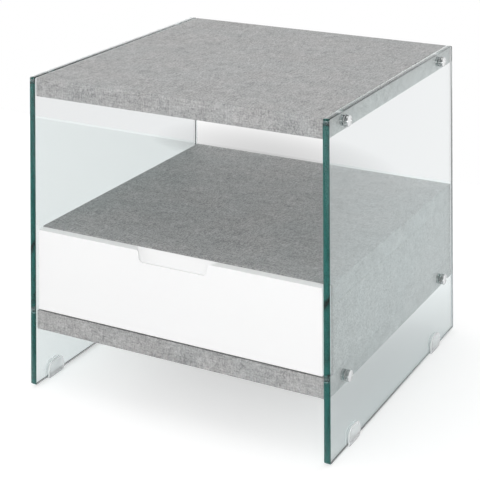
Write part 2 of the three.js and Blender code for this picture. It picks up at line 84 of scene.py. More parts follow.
def add_node(tree, kind, inputs=None, **settings):
    """A new node with its settings, whose inputs take plain values or another node's output."""
    node = tree.nodes.new(kind)
    for name, value in settings.items():
        setattr(node, name, value)
    for key, value in (inputs or {}).items():
        if isinstance(value, bpy.types.NodeSocket):
            tree.links.new(value, node.inputs[key])
        else:
            node.inputs[key].default_value = value
    return node


def maths(tree, operation, *values, clamp=False):
    node = add_node(tree, "ShaderNodeMath", dict(enumerate(values)), operation=operation, use_clamp=clamp)
    return node.outputs[0]


def ramp(tree, value, start, end, low=0.0, high=1.0):
    """Turns start into low and end into high, evenly between them and level outside."""
    node = add_node(tree, "ShaderNodeMapRange", {
        "Value": value, "From Min": start, "From Max": end, "To Min": low, "To Max": high})
    return node.outputs[0]


def parts_of(tree, kind):
    """The X, Y and Z of a texture coordinate of this kind."""
    place = add_node(tree, "ShaderNodeTexCoord").outputs[kind]
    return add_node(tree, "ShaderNodeSeparateXYZ", {"Vector": place}).outputs


def blend_colours(tree, share, first, second, how="MIX"):
    node = add_node(tree, "ShaderNodeMix", data_type="RGBA", blend_type=how)
    sockets = {"Factor_Float": share, "A_Color": first, "B_Color": second}
    for socket in node.inputs:
        if socket.identifier in sockets:
            value = sockets[socket.identifier]
            if isinstance(value, bpy.types.NodeSocket):
                tree.links.new(value, socket)
            else:
                socket.default_value = (*value, 1) if isinstance(value, tuple) else value
    return next(socket for socket in node.outputs if socket.identifier == "Result_Color")


def choose(tree, share, first, second):
    """The second shader where share is 1, and the first where it is 0."""
    return add_node(tree, "ShaderNodeMixShader", {0: share, 1: first, 2: second}).outputs[0]


def noise_value(tree, scale, detail=2, roughness=0.5, shift=(0, 0, 0), stretch=(1, 1, 1), curl=0.0):
    """Cloudy noise fixed to the piece, drawn out along the axes where stretch is small."""
    place = add_node(tree, "ShaderNodeTexCoord").outputs["Object"]
    mapped = add_node(tree, "ShaderNodeMapping", {"Vector": place, "Location": shift, "Scale": stretch})
    noise = add_node(tree, "ShaderNodeTexNoise", {
        "Vector": mapped.outputs["Vector"], "Scale": scale, "Detail": detail, "Roughness": roughness,
        "Distortion": curl})
    return noise.outputs[0]


def new_finish(name, **surface):
    """A material with one Principled shader, whose sockets are set by their names in lower case."""
    material = bpy.data.materials.new(name)
    material.use_nodes = True
    tree = material.node_tree
    shader = tree.nodes["Principled BSDF"]
    for key, value in surface.items():
        socket = shader.inputs[key.replace("_", " ").title().replace("Ior", "IOR")]
        socket.default_value = (*value, 1) if isinstance(value, tuple) else value
    return material, tree, shader


def set_colour(tree, shader, share, first, second):
    tree.links.new(blend_colours(tree, share, first, second), shader.inputs["Base Color"])


def set_roughness(tree, shader, value, low, high):
    tree.links.new(ramp(tree, value, 0.0, 1.0, low, high), shader.inputs["Roughness"])


def set_relief(tree, shader, height, depth, strength):
    bump = add_node(tree, "ShaderNodeBump", {"Height": height, "Distance": depth, "Strength": strength})
    tree.links.new(bump.outputs[0], shader.inputs["Normal"])


# ---- Finishes -----------------------------------------------------------------------------------

# The printed concrete is built of noises: whether each is drawn out along or across the brushing and
# how much, its scale, and how strongly it shows on the broad faces and on the edge bands.
CONCRETE_LAYERS = {
    "cloud": {"drawn_out": "along", "scale": 34, "stretch": 0.45, "detail": 2, "face": 0.34, "edge": 0.62},
    "mottle": {"drawn_out": "along", "scale": 150, "stretch": 0.6, "detail": 2, "face": 0.15, "edge": 0.40},
    "fleck": {"drawn_out": "along", "scale": 430, "stretch": 1.0, "detail": 1, "face": 2.3, "edge": 1.3},
    "grain": {"drawn_out": "along", "scale": 230, "stretch": 0.10, "detail": 3, "face": 0.40, "edge": 0.25},
    "brush": {"drawn_out": "along", "scale": 520, "stretch": 0.12, "detail": 2, "face": 0.95, "edge": 0.95},
    "cross_brush": {"drawn_out": "across", "scale": 520, "stretch": 0.12, "detail": 2, "face": 1.05,
                    "edge": 0.80},
}
CONCRETE_DARK = (0.235, 0.236, 0.236)
CONCRETE_LIGHT = (0.540, 0.536, 0.533)
CONCRETE_MIDDLE = 0.5
NOISE_MIDDLE = 0.5
# A face is edge band where it looks along the broad axis by less than this.
EDGE_BAND_FACING = 0.5
# The cooler patches: their tint, their scale, and the noise at which they start and are full.
CONCRETE_COOL = (0.975, 0.995, 1.0)
COOL_PATCHES = {"scale": 14, "start": 0.35, "full": 0.65}
# The pores: their scale, the noise at which they are open and closed, and how dark they are.
PORES = {"scale": 330, "open": 0.24, "closed": 0.30, "depth": 0.35}
# The curled trowel strokes, drawn out from front to rear: their scale, how strongly they curl and how
# wide they are, and the scale of the patches that hold them and where these start and are full.
STROKES = {
    "stretch": (1.0, 0.42, 1.0), "scale": 50, "curl": 1.6, "width": 0.05,
    "patches": 55, "start": 0.44, "full": 0.60,
}
STROKE_SHADES = {
    "dark": {"shift": (3, 1, 5), "change": -0.30},
    "light": {"shift": (8, 5, 2), "change": 0.25},
}


def trowel_strokes(tree, shift):
    """Thin curled strokes in patches: 1 along a stroke and 0 off it."""
    swirl = noise_value(tree, STROKES["scale"], shift=shift, stretch=STROKES["stretch"],
                        curl=STROKES["curl"])
    away = maths(tree, "ABSOLUTE", maths(tree, "SUBTRACT", swirl, NOISE_MIDDLE))
    line = ramp(tree, away, STROKES["width"], 0.0)
    cloud = noise_value(tree, STROKES["patches"], detail=1, shift=shift)
    patch = ramp(tree, cloud, STROKES["start"], STROKES["full"])
    return maths(tree, "MULTIPLY", line, patch)


def concrete_shade(tree, brushed_along, on_edge):
    """How light the print is with all its layers, strokes and pores, and its mottle by itself."""
    drawn_out = {"along": {brushed_along}, "across": {X, Y, Z} - {brushed_along}}
    shade, values = CONCRETE_MIDDLE, {}
    for place, (layer, look) in enumerate(CONCRETE_LAYERS.items()):
        axes = drawn_out[look["drawn_out"]]
        stretch = [look["stretch"] if axis in axes else 1.0 for axis in (X, Y, Z)]
        values[layer] = noise_value(tree, look["scale"], look["detail"], roughness=0.6,
                                    shift=(place, 4, 2), stretch=stretch)
        strength = maths(tree, "MULTIPLY_ADD", on_edge, look["edge"] - look["face"], look["face"])
        off_middle = maths(tree, "SUBTRACT", values[layer], NOISE_MIDDLE)
        shade = maths(tree, "MULTIPLY_ADD", off_middle, strength, shade)
    for look in STROKE_SHADES.values():
        shade = maths(tree, "MULTIPLY_ADD", trowel_strokes(tree, look["shift"]), look["change"], shade)
    pitting = noise_value(tree, PORES["scale"], detail=1, shift=(7, 7, 1))
    pores = maths(tree, "MULTIPLY", ramp(tree, pitting, PORES["closed"], PORES["open"]), PORES["depth"])
    return maths(tree, "SUBTRACT", shade, pores, clamp=True), values["mottle"]


def concrete_laminate(name, brushed_along, broad_axis):
    """Printed concrete with dark pores: flecked, trowelled and finely brushed both ways, and cloudier on
    its edge bands."""
    material, tree, shader = new_finish(name, specular_ior_level=0.35)
    facing = parts_of(tree, "Normal")[broad_axis]
    on_edge = maths(tree, "LESS_THAN", maths(tree, "ABSOLUTE", facing), EDGE_BAND_FACING)
    shade, mottle = concrete_shade(tree, brushed_along, on_edge)
    grey = blend_colours(tree, shade, CONCRETE_DARK, CONCRETE_LIGHT)
    cool = blend_colours(tree, 1.0, grey, CONCRETE_COOL, how="MULTIPLY")
    drift = noise_value(tree, COOL_PATCHES["scale"], shift=(9, 2, 4))
    patches = ramp(tree, drift, COOL_PATCHES["start"], COOL_PATCHES["full"])
    set_colour(tree, shader, patches, grey, cool)
    set_roughness(tree, shader, mottle, low=0.50, high=0.66)
    set_relief(tree, shader, shade, depth=0.12 * MM, strength=0.6)
    return material


# The plain finishes drift between two near colours.
LACQUER_WHITES = ((0.945, 0.945, 0.948), (0.962, 0.962, 0.960))
BOARD_WHITES = ((0.79, 0.79, 0.78), (0.84, 0.84, 0.83))
ENAMEL_WHITES = ((0.77, 0.78, 0.77), (0.82, 0.825, 0.82))
NYLON_WHITES = ((0.80, 0.79, 0.75), (0.87, 0.86, 0.83))
# Each metal's colour and its roughness where it is smoothest and roughest; a smear dulls the colour.
METALS = {
    "polished_chrome": {"colour": (0.60, 0.61, 0.61), "smooth": 0.02, "rough": 0.05},
    "plain_brass": {"colour": (0.70, 0.55, 0.30), "smooth": 0.22, "rough": 0.34},
    "zinc_plated_steel": {"colour": (0.66, 0.67, 0.69), "smooth": 0.25, "rough": 0.38},
}
METAL_SMEARED = 0.9


def white_lacquer():
    """Sprayed satin lacquer with a faint orange peel."""
    material, tree, shader = new_finish("white_lacquer", specular_ior_level=0.4, coat_weight=0.15,
                                        coat_roughness=0.12)
    peel = noise_value(tree, scale=260, roughness=0.4)
    drift = noise_value(tree, scale=9, shift=(4, 1, 1))
    set_colour(tree, shader, drift, *LACQUER_WHITES)
    set_roughness(tree, shader, drift, low=0.26, high=0.34)
    set_relief(tree, shader, peel, depth=0.05 * MM, strength=0.35)
    return material


def white_board():
    """White faced board with the fine pearl texture of melamine."""
    material, tree, shader = new_finish("white_board", specular_ior_level=0.4)
    pearl = noise_value(tree, scale=900, roughness=0.6)
    drift = noise_value(tree, scale=22, detail=3, shift=(2, 6, 1))
    set_colour(tree, shader, drift, *BOARD_WHITES)
    set_roughness(tree, shader, pearl, low=0.42, high=0.58)
    set_relief(tree, shader, pearl, depth=0.06 * MM, strength=0.5)
    return material


def epoxy_steel():
    """Sheet steel with a white powder coat."""
    material, tree, shader = new_finish("epoxy_steel", specular_ior_level=0.5)
    grain = noise_value(tree, scale=1400, roughness=0.6)
    drift = noise_value(tree, scale=40, shift=(1, 3, 1))
    set_colour(tree, shader, drift, *ENAMEL_WHITES)
    set_roughness(tree, shader, grain, low=0.30, high=0.46)
    set_relief(tree, shader, grain, depth=0.04 * MM, strength=0.5)
    return material


def turned_metal(name, colour, smooth, rough):
    """Metal with the fine rings that turning and polishing leave."""
    material, tree, shader = new_finish(name, metallic=1.0)
    rings = noise_value(tree, scale=420, roughness=0.6, stretch=(6, 1, 1))
    smear = noise_value(tree, scale=130, shift=(3, 3, 3))
    set_colour(tree, shader, smear, tuple(METAL_SMEARED * part for part in colour), colour)
    set_roughness(tree, shader, smear, smooth, rough)
    set_relief(tree, shader, rings, depth=0.01 * MM, strength=0.3)
    return material


def off_white_nylon():
    """Moulded nylon, uneven as it flowed into its mould."""
    material, tree, shader = new_finish("off_white_nylon", specular_ior_level=0.45)
    flow = noise_value(tree, scale=160, detail=3, roughness=0.6)
    set_colour(tree, shader, flow, *NYLON_WHITES)
    set_roughness(tree, shader, flow, low=0.36, high=0.5)
    set_relief(tree, shader, flow, depth=0.03 * MM, strength=0.4)
    return material


def let_light_through(tree, shader, tint):
    """Lets lamps and the room light what is behind, by a clear shadow of the given tint."""
    rays = add_node(tree, "ShaderNodeLightPath")
    clear = add_node(tree, "ShaderNodeBsdfTransparent", {"Color": (*tint, 1)})
    surface = shader.outputs[0]
    for kind in ("Is Diffuse Ray", "Is Shadow Ray"):
        surface = choose(tree, rays.outputs[kind], surface, clear.outputs[0])
    tree.links.new(surface, tree.nodes["Material Output"].inputs["Surface"])


GLASS_TINT = (0.23, 0.65, 0.625)
GLASS_DENSITY = 10.0
GLASS_SHADOW = (0.98, 0.985, 0.985)
PLASTIC_COLOUR = (0.996, 0.998, 1.0)
PLASTIC_SHADOW = (0.98, 0.98, 0.985)
# How clear the plastic is, and how clear it is on the rims of the glides, where it looks milky.
PLASTIC_CLEARNESS = {"clear_plastic": 0.74, "clear_plastic_rim": 0.15}


def table_glass():
    """Clear float glass: colourless face on, deep green where light runs along it."""
    material, tree, shader = new_finish("table_glass", base_color=(1.0, 1.0, 1.0), ior=1.5,
                                        transmission_weight=1.0)
    haze = noise_value(tree, scale=7)
    set_roughness(tree, shader, haze, low=0.0, high=0.006)
    soak = add_node(tree, "ShaderNodeVolumeAbsorption", {
        "Color": (*GLASS_TINT, 1), "Density": GLASS_DENSITY})
    tree.links.new(soak.outputs[0], tree.nodes["Material Output"].inputs["Volume"])
    let_light_through(tree, shader, GLASS_SHADOW)
    return material


def clear_plastic(name):
    """Moulded clear plastic, a little milky, with the ripple of the mould."""
    material, tree, shader = new_finish(name, base_color=PLASTIC_COLOUR, ior=1.16,
                                        transmission_weight=PLASTIC_CLEARNESS[name])
    ripple = noise_value(tree, scale=240)
    set_roughness(tree, shader, ripple, low=0.01, high=0.05)
    set_relief(tree, shader, ripple, depth=0.08 * MM, strength=0.4)
    let_light_through(tree, shader, PLASTIC_SHADOW)
    return material


# ---- Mesh helpers -------------------------------------------------------------------------------

WELD_DISTANCE = 0.001 * MM
# The most of an edge that one rounded corner takes up.
CORNER_SHARE = 0.45
CROSS_ARMS = 4


def to_mesh(work, name):
    mesh = bpy.data.meshes.new(name)
    bmesh.ops.remove_doubles(work, verts=work.verts, dist=WELD_DISTANCE)
    bmesh.ops.recalc_face_normals(work, faces=work.faces)
    work.to_mesh(mesh)
    work.free()
    return mesh


def evaluated_mesh(source, name):
    """The object's shape with its modifiers, as a plain mesh; the object itself is thrown away."""
    graph = bpy.context.evaluated_depsgraph_get()
    mesh = bpy.data.meshes.new_from_object(source.evaluated_get(graph), depsgraph=graph)
    mesh.name = name
    bpy.data.objects.remove(source)
    return mesh


def passing_object(name, data):
    thing = bpy.data.objects.new(name, data)
    scene.collection.objects.link(thing)
    return thing


def soften(mesh, degrees):
    """Smooth shading, with edges kept crisp where the faces turn by more than this."""
    mesh.shade_smooth()
    mesh.set_sharp_from_angle(angle=math.radians(degrees))


def fit_piece(name, mesh, material, body, stands_for):
    mesh.materials.clear()
    mesh.materials.append(material)
    piece = passing_object(name, mesh)
    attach(piece, body)
    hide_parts(*stands_for)
    return piece


def even_turns(segments):
    return [2 * math.pi * i / segments for i in range(segments)]


def skin(work, rings):
    """Faces from each ring to the next, three-cornered where one of them is a point."""
    for ring, following in zip(rings, rings[1:]):
        for i in range(len(ring)):
            j = (i + 1) % len(ring)
            corners = list(dict.fromkeys((ring[i], ring[j], following[j], following[i])))
            if len(corners) > 2:
                work.faces.new(corners)


def turned(profile, segments=48, lobes=None):
    """A round solid about the X axis from (distance along it, radius) pairs. A ring named in lobes
    swells and shrinks once for each arm of a cross, as the mouth of a cross recess does."""
    work = bmesh.new()
    rings = []
    for k, (along, radius) in enumerate(profile):
        if k and (along, radius) == profile[0]:
            rings.append(rings[0])
        elif radius == 0:
            rings.append([work.verts.new((along, 0, 0))] * segments)
        else:
            swell = (lobes or {}).get(k, 0)
            ring = []
            for turn in even_turns(segments):
                reach = radius * (1 + swell * math.cos(CROSS_ARMS * turn))
                ring.append(work.verts.new((along, reach * math.cos(turn), reach * math.sin(turn))))
            rings.append(ring)
    skin(work, rings)
    return to_mesh(work, "turned")


def bend(start, corner, end, steps):
    """Points on a curve that leaves start towards the corner and comes to end from it."""
    start, corner, end = Vector(start), Vector(corner), Vector(end)
    points = []
    for k in range(steps + 1):
        t = k / steps
        points.append(tuple((1 - t) ** 2 * start + 2 * t * (1 - t) * corner + t * t * end))
    return points


def eased(profile, ease, steps=4):
    """The profile with each corner off the axis rounded by up to ease."""
    closed = profile[0] == profile[-1]
    points = profile[:-1] if closed else profile
    rounded = []
    for i, here in enumerate(points):
        at_end = not closed and i in (0, len(points) - 1)
        if at_end or here[1] == 0:
            rounded.append(here)
            continue
        here = Vector(here)
        arms = [Vector(points[i - 1]) - here, Vector(points[(i + 1) % len(points)]) - here]
        before, after = [here + arm.normalized() * min(ease, CORNER_SHARE * arm.length) for arm in arms]
        rounded += bend(before, here, after, steps)
    return rounded + rounded[:1] if closed else rounded


def rounded_outline(low, high, lower_radius, upper_radius, steps=8):
    """The corners of a rectangle, in depth and height, with its lower and upper corners rounded."""
    corners = [
        (high.x - lower_radius, low.y + lower_radius, lower_radius, -90),
        (high.x - upper_radius, high.y - upper_radius, upper_radius, 0),
        (low.x + upper_radius, high.y - upper_radius, upper_radius, 90),
        (low.x + lower_radius, low.y + lower_radius, lower_radius, 180),
    ]
    points = []
    for x, y, radius, start in corners:
        for k in range(steps + 1):
            turn = math.radians(start + 90 * k / steps)
            points.append((x + radius * math.cos(turn), y + radius * math.sin(turn)))
    return points


def round_hole(y, z, radius, segments=40):
    return [(y + radius * math.cos(turn), z + radius * math.sin(turn)) for turn in even_turns(segments)]


def upright_slab(name, outlines, x_low, x_high, edge, edge_steps=0):
    """A slab that stands on edge between two planes of X. The first outline, in depth and height, is
    its rim and the others are holes; edge is how far its edges are ground or rounded."""
    curve = bpy.data.curves.new(name, "CURVE")
    curve.dimensions = "2D"
    curve.fill_mode = "BOTH"
    curve.extrude = (x_high - x_low) / 2 - edge
    curve.bevel_depth = edge
    curve.bevel_resolution = edge_steps
    curve.offset = -edge
    for outline in outlines:
        spline = curve.splines.new("POLY")
        spline.points.add(len(outline) - 1)
        for point, (y, z) in zip(spline.points, outline):
            point.co = (y, z, 0, 1)
        spline.use_cyclic_u = True
    mesh = evaluated_mesh(passing_object(name, curve), name)
    stood_up = Matrix(((0, 0, 1, (x_low + x_high) / 2), (1, 0, 0, 0), (0, 1, 0, 0), (0, 0, 0, 1)))
    work = bmesh.new()
    work.from_mesh(mesh)
    bmesh.ops.transform(work, matrix=stood_up, verts=work.verts)
    return to_mesh(work, name)


def block(low, high):
    work = bmesh.new()
    place = Matrix.Translation((low + high) / 2) @ Matrix.Diagonal(high - low).to_4x4()
    bmesh.ops.create_cube(work, size=1, matrix=place)
    return to_mesh(work, "block")


def carved(name, blank, cutters, edge, edge_steps):
    """The blank less its cutters, with the blank's own edges rounded first."""
    piece = passing_object(name, blank)
    rounding = piece.modifiers.new("edges", "BEVEL")
    rounding.width = edge
    rounding.segments = edge_steps
    rounding.limit_method = "ANGLE"
    tools = []
    for cutter in cutters:
        tool = passing_object("cutter", cutter)
        tool.hide_render = True
        cut = piece.modifiers.new("cut", "BOOLEAN")
        cut.operation = "DIFFERENCE"
        cut.solver = "EXACT"
        cut.object = tool
        tools.append(tool)
    mesh = evaluated_mesh(piece, name)
    for tool in tools:
        bpy.data.objects.remove(tool)
    return mesh


def even_shading(piece):
    """Keeps broad flat faces flat beside the small rounded ones."""
    weighting = piece.modifiers.new("even_shading", "WEIGHTED_NORMAL")
    weighting.keep_sharp = True
    weighting.weight = 100


# ---- Glass and its clear glides -----------------------------------------------------------------

# How far a cutter reaches past the piece that it cuts.
CUT_PAST = 1 * MM
CORNER_RADIUS = 3 * MM
GROUND_EDGE = 0.6 * MM
HOLE_RADIUS = 6.5 * MM
GLIDE_FLOOR = 2.5 * MM
GLIDE_GAP = 0.25 * MM
GLIDE_EDGE = 0.5 * MM
GLIDE_FOOT_RADIUS = 1.5 * MM
GLIDE_ARCH_RADIUS = 12 * MM
GLIDE_ARRIS = 0.1 * MM
# A glide's face is broad where it looks along X by at least this, and rim elsewhere.
BROAD_FACING = 0.9


def middle_of(node):
    low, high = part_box(node)
    return (low + high) / 2


def glass_pane(side, material):
    node = f"{side}_glass_pane"
    low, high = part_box(node)
    rim = rounded_outline(low.yz, high.yz, CORNER_RADIUS, CORNER_RADIUS)
    holes = []
    for level in LEVELS:
        for place in PLACES:
            bolt = middle_of(f"{side}_{level}_{place}_cap_bolt")
            holes.append(round_hole(bolt.y, bolt.z, HOLE_RADIUS))
    mesh = upright_slab(f"{side}_pane", [rim, *holes], low.x, high.x, GROUND_EDGE)
    return fit_piece(f"{side}_pane", mesh, material, "table", [node])


def clear_glide(side, place, material, rim_material):
    """An arched clip around the pane's lower edge, milkier on its rims than on its broad faces."""
    node = f"{side}_{place}_glide"
    low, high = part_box(node)
    pane_low, pane_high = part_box(f"{side}_glass_pane")
    cheek = rounded_outline(low.yz, high.yz, GLIDE_FOOT_RADIUS, GLIDE_ARCH_RADIUS, steps=12)
    arch = upright_slab(f"{side}_{place}_clip", [cheek], low.x, high.x, GLIDE_EDGE, edge_steps=2)
    mouth = block(
        Vector((pane_low.x - GLIDE_GAP, low.y - CUT_PAST, low.z + GLIDE_FLOOR - GLIDE_GAP)),
        Vector((pane_high.x + GLIDE_GAP, high.y + CUT_PAST, high.z + CUT_PAST)))
    mesh = carved(f"{side}_{place}_clip", arch, [mouth], GLIDE_ARRIS, edge_steps=1)
    soften(mesh, degrees=35)
    piece = fit_piece(f"{side}_{place}_clip", mesh, material, "table", [node])
    mesh.materials.append(rim_material)
    for face in mesh.polygons:
        face.material_index = int(abs(face.normal.x) < BROAD_FACING)
    return piece


# ---- Drawer front with its finger scoop ---------------------------------------------------------

FRONT_EDGE = 1 * MM
SCOOP_WIDTH = 114 * MM
SCOOP_HEIGHT = 17 * MM
SCOOP_WALL_LEFT = 1.5 * MM
SCOOP_LEDGE = 2 * MM
SCOOP_CURVE = 1.1
SCOOP_SIDE_FLARE = 11 * MM
SCOOP_SIDE_SLOPE = 1.5 * MM
SCOOP_CORNER = 6.5 * MM
SCOOP_CORNER_LEAD = 0.2
SCOOP_SHOULDER_WIDTH = 6 * MM
SCOOP_SHOULDER_HEIGHT = 7.5 * MM
SCOOP_LIP = 0.4 * MM
SCOOP_CLEARANCE = 0.1 * MM
SCOOP_STEPS = 22
LIP_STEPS = 5
ARC_STEPS = 9
SLOT_DEPTH = 5 * MM
SLOT_SLACK = 0.25 * MM


def scoop_section(inward, depth, spread):
    """A tray with steep ends and flared shoulders, at a place inward of the face. Behind a level ledge its
    floor climbs to the top and its ends draw apart; spread sets the walls back at the lip."""
    climb = max(0.0, (inward - SCOOP_LEDGE) / (depth - SCOOP_LEDGE)) ** SCOOP_CURVE
    rise = 1 - climb
    wall = SCOOP_WIDTH / 2 + SCOOP_SIDE_FLARE * inward / depth + spread
    foot = wall - SCOOP_SIDE_SLOPE * rise
    corner = SCOOP_CORNER * rise
    bottom = SCOOP_CLEARANCE * climb - SCOOP_HEIGHT * rise - spread
    wall_top = SCOOP_CLEARANCE * climb - SCOOP_SHOULDER_HEIGHT * rise
    flare = wall + SCOOP_SHOULDER_WIDTH
    half = [(flare, CUT_PAST)]
    half += bend((flare, SCOOP_CLEARANCE), (wall, SCOOP_CLEARANCE), (wall, wall_top), ARC_STEPS)
    half += bend((foot + SCOOP_CORNER_LEAD * corner, bottom + corner), (foot, bottom),
                 (foot - corner, bottom), ARC_STEPS)
    return [(-x, z) for x, z in half] + half[::-1]


def scoop_cutter(face_y, depth, top_z):
    """The scoop as a solid to cut with, whose upper edges are rounded where it meets the face."""
    sections = [(-CUT_PAST, scoop_section(0, depth, SCOOP_LIP))]
    for k in range(LIP_STEPS):
        turn = math.radians(90 * k / LIP_STEPS)
        inward = SCOOP_LIP * (1 - math.cos(turn))
        sections.append((inward, scoop_section(inward, depth, SCOOP_LIP * (1 - math.sin(turn)))))
    for k in range(SCOOP_STEPS + 1):
        inward = SCOOP_LIP + (depth - SCOOP_LIP) * k / SCOOP_STEPS
        sections.append((inward, scoop_section(inward, depth, 0)))
    work = bmesh.new()
    rings = []
    for inward, section in sections:
        rings.append([work.verts.new((x, face_y + inward, top_z + z)) for x, z in section])
    skin(work, rings)
    work.faces.new(rings[0])
    work.faces.new(rings[-1])
    return to_mesh(work, "scoop_cutter")


def drawer_front(material):
    low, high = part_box("drawer_front")
    bottom_low, bottom_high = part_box("drawer_bottom")
    scoop = scoop_cutter(low.y, high.y - low.y - SCOOP_WALL_LEFT, high.z)
    slot = block(
        Vector((bottom_low.x - SLOT_SLACK, high.y - SLOT_DEPTH, bottom_low.z - SLOT_SLACK)),
        Vector((bottom_high.x + SLOT_SLACK, high.y + CUT_PAST, bottom_high.z + SLOT_SLACK)))
    mesh = carved("scooped_front", block(low, high), [scoop, slot], FRONT_EDGE, edge_steps=3)
    soften(mesh, degrees=32)
    piece = fit_piece("scooped_front", mesh, material, "drawer", ["drawer_front"])
    even_shading(piece)
    return piece


# ---- Fixings and screws, set out by node trees --------------------------------------------------

CAP_HEAD = {"radius": 8 * MM, "length": 5.5 * MM, "edge": 0.8 * MM, "ring": 1.9 * MM, "groove": 0.45 * MM}
# How far the groove's floor stays off the ring and off the disc, as shares of the groove.
GROOVE_FLOOR = {"off_ring": 0.6, "off_disc": 0.3}
CAP_SHANK = {"radius": 3 * MM, "length": 23.5 * MM}
WASHER = {"radius": 8.25 * MM, "thickness": 0.8 * MM, "bore": 3.3 * MM, "edge": 0.2 * MM}
BUSH = {
    "flange": 8 * MM, "thickness": 0.8 * MM, "sleeve": 6.25 * MM, "length": 9 * MM, "bore": 3.3 * MM,
    "edge": 0.15 * MM,
}
INSERT = {
    "radius": 4.9 * MM, "bore": 3.2 * MM, "length": 13 * MM, "thread": 0.5 * MM, "turns": 6,
    "threaded_share": 0.85, "chamfer": 0.3 * MM,
}


def cap_profile():
    """A cap screw: shank, round head with a bright ring, and a slightly domed disc inside the ring."""
    radius, length, groove = CAP_HEAD["radius"], CAP_HEAD["length"], CAP_HEAD["groove"]
    tip, shank = -CAP_SHANK["length"], CAP_SHANK["radius"]
    ring = radius - CAP_HEAD["ring"]
    outside = eased([(tip, 0), (tip, shank), (0, shank), (0, radius), (length, radius), (length, ring)],
                    CAP_HEAD["edge"])
    disc = ring - 2 * groove
    floor = [(length - groove, ring - GROOVE_FLOOR["off_ring"] * groove),
             (length - groove, disc + GROOVE_FLOOR["off_disc"] * groove)]
    dome = [(length - groove * share ** 2, disc * share) for share in (1.0, 0.75, 0.5, 0.25, 0.0)]
    return outside + floor + dome


def washer_profile():
    thick, radius, bore = WASHER["thickness"], WASHER["radius"], WASHER["bore"]
    return eased([(0, bore), (0, radius), (thick, radius), (thick, bore), (0, bore)], WASHER["edge"],
                 steps=3)


def bush_profile():
    thick, flange, sleeve, bore = BUSH["thickness"], BUSH["flange"], BUSH["sleeve"], BUSH["bore"]
    end = thick + BUSH["length"]
    return eased([(0, bore), (0, flange), (thick, flange), (thick, sleeve), (end, sleeve), (end, bore),
                  (0, bore)], BUSH["edge"], steps=2)


def insert_profile():
    """A threaded brass sleeve, whose ridges are cut as rings."""
    length, radius, bore = INSERT["length"], INSERT["radius"], INSERT["bore"]
    points = [(-length, bore)]
    pitch = INSERT["threaded_share"] * length / INSERT["turns"]
    root = radius - INSERT["thread"]
    for turn in range(INSERT["turns"]):
        foot = -length + turn * pitch
        points += [(foot, root), (foot + pitch / 2, radius)]
    collar = -length + INSERT["turns"] * pitch
    points += [(collar, root), (collar + INSERT["chamfer"], radius), (0, radius), (0, bore)]
    return points + points[:1]


RECESS_SHARE = 0.42
# How much the mouth of the recess and the ring below it swell into a cross, by their places in the
# profile.
RECESS_LOBES = {8: 0.32, 9: 0.4}


def screw_profile(head_radius, head_height, shank_radius, shank_length):
    """A panel screw whose head looks along +X, with a cross recess in it."""
    recess = RECESS_SHARE * head_radius
    point_and_shank = [
        (-shank_length, 0), (-0.8 * shank_length, 0.6 * shank_radius), (-0.7 * shank_length, shank_radius),
        (0, shank_radius),
    ]
    rim_and_crown = [
        (0, head_radius), (0.35 * head_height, head_radius), (0.85 * head_height, 0.8 * head_radius),
        (head_height, 0.62 * head_radius),
    ]
    cross_recess = [(head_height, recess), (0.3 * head_height, 0.45 * recess), (0.1 * head_height, 0)]
    return point_and_shank + rim_and_crown + cross_recess


def tree_with_inputs(name, inputs):
    tree = bpy.data.node_groups.new(name, "GeometryNodeTree")
    tree.is_modifier = True
    tree.interface.new_socket("Geometry", in_out="OUTPUT", socket_type="NodeSocketGeometry")
    for label, kind in inputs.items():
        tree.interface.new_socket(label, in_out="INPUT", socket_type=f"NodeSocket{kind}")
    return tree, add_node(tree, "NodeGroupInput").outputs


def finish_tree(tree, points_and_piece, given):
    solid = add_node(tree, "GeometryNodeRealizeInstances", {"Geometry": points_and_piece})
    dressed = add_node(tree, "GeometryNodeSetMaterial", {
        "Geometry": solid.outputs[0], "Material": given["Finish"]})
    add_node(tree, "NodeGroupOutput", {0: dressed.outputs[0]})
    return tree


def four_on_each_side():
    """Sets a piece at the four fixing places of both panes, turned to face outwards."""
    tree, given = tree_with_inputs("four_on_each_side", {
        "Piece": "Object", "Depth Spacing": "Float", "Height Spacing": "Float", "Middle": "Vector",
        "Seat": "Float", "Finish": "Material"})
    grid = add_node(tree, "GeometryNodeMeshGrid", {
        "Size X": given["Depth Spacing"], "Size Y": given["Height Spacing"],
        "Vertices X": len(PLACES), "Vertices Y": len(LEVELS)})
    upright = add_node(tree, "GeometryNodeTransform", {
        "Geometry": grid.outputs[0], "Translation": given["Middle"],
        "Rotation": (math.pi / 2, 0, math.pi / 2)})
    piece = add_node(tree, "GeometryNodeObjectInfo", {"Object": given["Piece"]})
    sides = []
    for side in SIDES.values():
        seat = add_node(tree, "ShaderNodeMath", {0: given["Seat"], 1: side}, operation="MULTIPLY")
        shift = add_node(tree, "ShaderNodeCombineXYZ", {"X": seat.outputs[0]})
        moved = add_node(tree, "GeometryNodeTransform", {
            "Geometry": upright.outputs[0], "Translation": shift.outputs[0]})
        placed = add_node(tree, "GeometryNodeInstanceOnPoints", {
            "Points": moved.outputs[0], "Instance": piece.outputs["Geometry"],
            "Rotation": (0, 0, 0 if side > 0 else math.pi)})
        sides.append(placed.outputs[0])
    joined = add_node(tree, "GeometryNodeJoinGeometry")
    for placed in reversed(sides):
        tree.links.new(placed, joined.inputs[0])
    return finish_tree(tree, joined.outputs[0], given)


